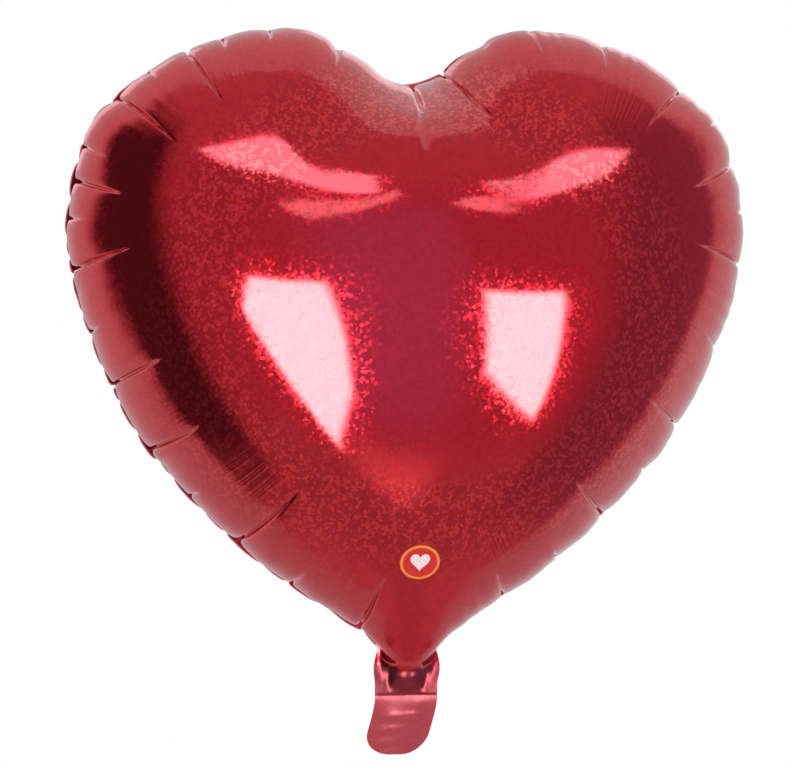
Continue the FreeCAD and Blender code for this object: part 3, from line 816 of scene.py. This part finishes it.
def printed_patch(name, skin, centre, outline, shares, lifts, materials, change):
    """A thin print. Its rings follow the outline, and from ring number change it has a second colour."""
    turns = np.arange(len(outline))
    places = [(0.0, 0.0, lifts[0])]
    for share, lift in zip(shares, lifts):
        places += [(across * share, up * share, lift) for across, up in outline]
    triangles = [(0, 1 + k, 1 + (k + 1) % len(outline)) for k in turns]
    for ring in range(len(shares) - 1):
        near = 1 + ring * len(outline)
        far = near + len(outline)
        for k in turns:
            after = (k + 1) % len(outline)
            triangles += [(near + k, far + k, far + after), (near + k, far + after, near + after)]
    triangles = np.array(triangles)
    x = conforming(skin, centre, places)
    piece = mesh_object(name, triangles, x, materials[0])
    for material in materials[1:]:
        piece.data.materials.append(material)
    first = len(outline) * (1 + 2 * (change - 1))
    for polygon in piece.data.polygons[first:]:
        polygon.material_index = len(materials) - 1
    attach(piece, "envelope")
    return piece


def oval(half_width, half_height, count=72):
    turn = np.arange(count) * 2 * math.pi / count
    return np.c_[half_width * np.cos(turn), half_height * np.sin(turn)].tolist()


def small_heart(size, count=72):
    turn = np.arange(count) * 2 * math.pi / count
    across = 16 * np.sin(turn) ** 3
    up = 13 * np.cos(turn) - 5 * np.cos(2 * turn) - 2 * np.cos(3 * turn) - np.cos(4 * turn)
    return (np.c_[-across, up + 2.5] * size / 16).tolist()


def inlet_film(name, side, material, node):
    """One film of the valve's inlet, hanging in the tail between its films."""
    across, z = np.meshgrid(np.linspace(-INLET_WIDTH / 2, INLET_WIDTH / 2, INLET_COLUMNS),
                            np.linspace(INLET_TOP, INLET_TOP - INLET_LENGTH, INLET_ROWS))
    across = across.ravel() * (1 - 0.04 * (z.ravel() < -27.0))
    z = z.ravel()
    lean, middle = neck_middle(across, z)
    gap = INLET_GAP + INLET_GAPE * smoothstep(-18.0, -28.0, z) * np.clip(1 - (across / 10.5) ** 2, 0.0, 1.0)
    x = np.c_[across + lean, middle + side * gap, hung(z)]
    rows = np.arange(INLET_ROWS - 1)[:, None] * INLET_COLUMNS
    corner = (rows + np.arange(INLET_COLUMNS - 1)[None, :]).ravel()
    below = corner + INLET_COLUMNS
    triangles = np.vstack([np.c_[corner, below, below + 1], np.c_[corner, below + 1, corner + 1]])
    piece = mesh_object(name, triangles[:, ::-side], x, material)
    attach(piece, "tail")
    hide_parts(node)


foil = foil_material("red_foil", (0.70, 0.015, 0.032, 1), (0.82, 0.026, 0.038, 1),
                     smoothest=0.07, roughest=0.15, coat_roughness=0.04)
# the neck foil is the same film with its base colour darkened by painted shade
neck_foil_painted_shade = foil_material("neck_foil_painted_shade", (0.30, 0.016, 0.030, 1), (0.37, 0.024, 0.040, 1),
                          smoothest=0.30, roughest=0.38, coat_roughness=0.40)
# the tail foil is the same film with its base colour lightened to pink by painted sheen
tail_foil_painted_sheen = foil_material("tail_foil_painted_sheen", (0.84, 0.18, 0.21, 1), (0.92, 0.21, 0.24, 1),
                          smoothest=0.36, roughest=0.42, coat_roughness=0.35)
foils = (foil, neck_foil_painted_shade, tail_foil_painted_sheen)
front_triangles, front_x = make_foil("front_foil", -1, FRONT_CREASES, foils,
                                     ("front_foil_panel", "tail_front_film"))
make_foil("rear_foil", 1, REAR_CREASES, foils, ("rear_foil_panel", "tail_rear_film"))
skin = BVHTree.FromPolygons(front_x.tolist(), front_triangles.tolist())
ground = ink_material("badge_ground", (0.60, 0.012, 0.012), (0.68, 0.03, 0.02))
gold = ink_material("badge_gold", (0.86, 0.22, 0.02), (0.90, 0.34, 0.05))
white = ink_material("badge_white", (0.86, 0.80, 0.76), (0.92, 0.88, 0.86))
badge = printed_patch("badge", skin, BADGE_CENTRE, oval(*BADGE_HALF),
                      shares=(0.3, 0.6, 0.84, 0.86, 0.93, 0.99, 1.0),
                      lifts=(0.16, 0.16, 0.16, 0.20, 0.22, 0.20, 0.05),
                      materials=(ground, gold), change=4)
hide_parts("printed_badge")
printed_patch("badge_heart", skin, (BADGE_CENTRE[0], BADGE_CENTRE[1] - HEART_DROP), small_heart(HEART_SIZE),
              shares=(0.4, 0.8, 0.98, 1.0), lifts=(0.24, 0.24, 0.24, 0.17), materials=(white,), change=9)


clear_film = film_material()
inlet_film("inlet_front", -1, clear_film, "inlet_front_film")
inlet_film("inlet_rear", 1, clear_film, "inlet_rear_film")
for node, material in (("valve_front_film", clear_film), ("valve_rear_root", clear_film),
                       ("valve_rear_flap", clear_film), ("valve_release_coating", coating_material())):
    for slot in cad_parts[node].material_slots:
        slot.material = material

# ------------------------------------------------------------------ world and light
WHITE = (1.0, 1.0, 1.0, 1.0)
FLOOR_HEIGHT = -0.6
FLOOR_RADIUS = 3.0
CAMERA_SIDE = (0.43, 0.16, 0.24, 1.0)
MIDDLE = (0.46, 0.26, 0.52, 1.0)
HIGH_AND_LOW = (0.50, 0.25, 0.30, 1.0)
LOW_FRONT = (0.44, 0.22, 0.26, 1.0)
GLOW = (0.85, 0.45, 0.50, 1.0)
BEHIND = (0.60, 0.58, 0.60, 1.0)
BEHIND_LOW = (0.48, 0.42, 0.46, 1.0)
DARK_LEFT = (0.08, 0.04, 0.05, 1.0)
DARK_RIGHT = (0.27, 0.14, 0.22, 1.0)
KEY = (8.5, 8.8, 8.4, 1.0)
TOP = (2.4, 2.5, 2.9, 1.0)
STRIP = (1.4, 1.4, 1.5, 1.0)
BACK = (0.95, 0.93, 0.95, 1.0)
# each with its corners in degrees of azimuth and elevation, the softness of its edge and its colour
SOFTBOXES = [
    ([(-28, 3), (-13, 3), (-9, -12), (-9, -24), (-17, -38), (-31, -6)], 1.2, KEY),
    ([(19, 0), (34.5, 0), (36.5, -30), (28, -25), (20, -18)], 1.2, KEY),
    ([(-39, 41), (-12, 52), (-7, 52), (-7, 39), (-28, 36)], 1.5, TOP),
    ([(29, 45), (35, 44), (53, 38), (42, 31), (29, 32)], 1.5, TOP),
    ([(-19, 27), (-1, 42), (-1, 37), (-15, 23.5)], 1.2, STRIP),
    ([(17, 31), (24, 36), (28, 35), (28, 27), (22, 28)], 1.2, STRIP),
    ([(-14, -37), (14, -37), (9, -50), (-9, -50)], 6.0, GLOW),
    ([(146, 34), (168, 38), (168, 6), (146, 10)], 2.0, BACK),
    ([(-168, 38), (-146, 34), (-146, 10), (-168, 6)], 2.0, BACK),
]


def window(nodes, azimuth, elevation, corners, softness):
    """1 inside the convex outline of the corners, given clockwise in degrees, and 0 outside."""
    inside = None
    for (x0, y0), (x1, y1) in zip(corners, corners[1:] + corners[:1]):
        length = math.hypot(x1 - x0, y1 - y0)
        nx, ny = (y1 - y0) / length, -(x1 - x0) / length
        across = nodes.math("MULTIPLY", azimuth, nx)
        along = nodes.math("MULTIPLY_ADD", elevation, ny, -(x0 * nx + y0 * ny))
        edge = nodes.step(nodes.math("ADD", across, along), -softness, softness)
        inside = edge if inside is None else nodes.math("MULTIPLY", inside, edge)
    return inside


def studio_world():
    """White to the camera. What the foils mirror is dim and purplish on the camera's side, dark at
    the sides and grey behind, with the softboxes. Directions are azimuth, 0 in front and 90 at +X,
    and elevation."""
    world = bpy.data.worlds.new("studio")
    bpy.context.scene.world = world
    world.use_nodes = True
    tree = world.node_tree
    nodes = Nodes(tree)
    ray = nodes.add("ShaderNodeTexCoord").outputs["Generated"]
    parts = nodes.add("ShaderNodeSeparateXYZ")
    nodes.feed(parts.inputs[0], ray)
    x, y, z = parts.outputs
    degrees = 180 / math.pi
    azimuth = nodes.math("ARCTAN2", x, nodes.math("MULTIPLY", y, -1.0))
    azimuth = nodes.math("MULTIPLY", azimuth, degrees)
    elevation = nodes.math("MULTIPLY", nodes.math("ARCSINE", z), degrees)
    aside = nodes.math("ABSOLUTE", azimuth)
    slope = nodes.math("ABSOLUTE", elevation)
    light = nodes.mix(nodes.step(slope, 25.0, 60.0), CAMERA_SIDE, HIGH_AND_LOW)
    middle = nodes.math("MULTIPLY", nodes.step(aside, 22.0, 8.0), nodes.step(slope, 40.0, 18.0))
    light = nodes.mix(middle, light, MIDDLE)
    low = nodes.math("MULTIPLY", nodes.step(elevation, -30.0, -45.0), nodes.step(aside, 62.0, 36.0))
    light = nodes.mix(low, light, LOW_FRONT)
    behind = nodes.mix(nodes.step(elevation, -10.0, -55.0), BEHIND, BEHIND_LOW)
    light = nodes.mix(nodes.step(aside, 94.0, 114.0), light, behind)
    dark = nodes.mix(nodes.step(azimuth, -10.0, 10.0), DARK_LEFT, DARK_RIGHT)
    inner = nodes.step(azimuth, -10.0, 10.0, 46.0, 38.0)
    wing = nodes.step(aside, inner, nodes.math("ADD", inner, 18.0))
    wing = nodes.math("MULTIPLY", wing, nodes.step(aside, 106.0, 94.0))
    wing = nodes.math("MULTIPLY", wing, nodes.step(slope, 64.0, 40.0))
    light = nodes.mix(wing, light, dark)
    for corners, softness, colour in SOFTBOXES:
        light = nodes.mix(window(nodes, azimuth, elevation, corners, softness), light, colour)
    seen = nodes.add("ShaderNodeLightPath").outputs["Is Camera Ray"]
    background = tree.nodes["Background"]
    nodes.feed(background.inputs["Color"], nodes.mix(seen, light, WHITE))


def pale_floor():
    bpy.ops.mesh.primitive_circle_add(vertices=96, radius=FLOOR_RADIUS, fill_type="NGON",
                                      location=(0, 0, FLOOR_HEIGHT))
    floor = bpy.context.object
    floor.name = "floor"
    material, nodes, shader = new_material("pale_floor")
    shader.inputs["Base Color"].default_value = (0.88, 0.88, 0.88, 1.0)
    shader.inputs["Roughness"].default_value = 0.8
    shader.inputs["Emission Color"].default_value = WHITE
    shader.inputs["Emission Strength"].default_value = 0.35
    floor.data.materials.append(material)
    floor.visible_glossy = False


studio_world()
pale_floor()
bpy.context.scene.view_settings.view_transform = "Standard"
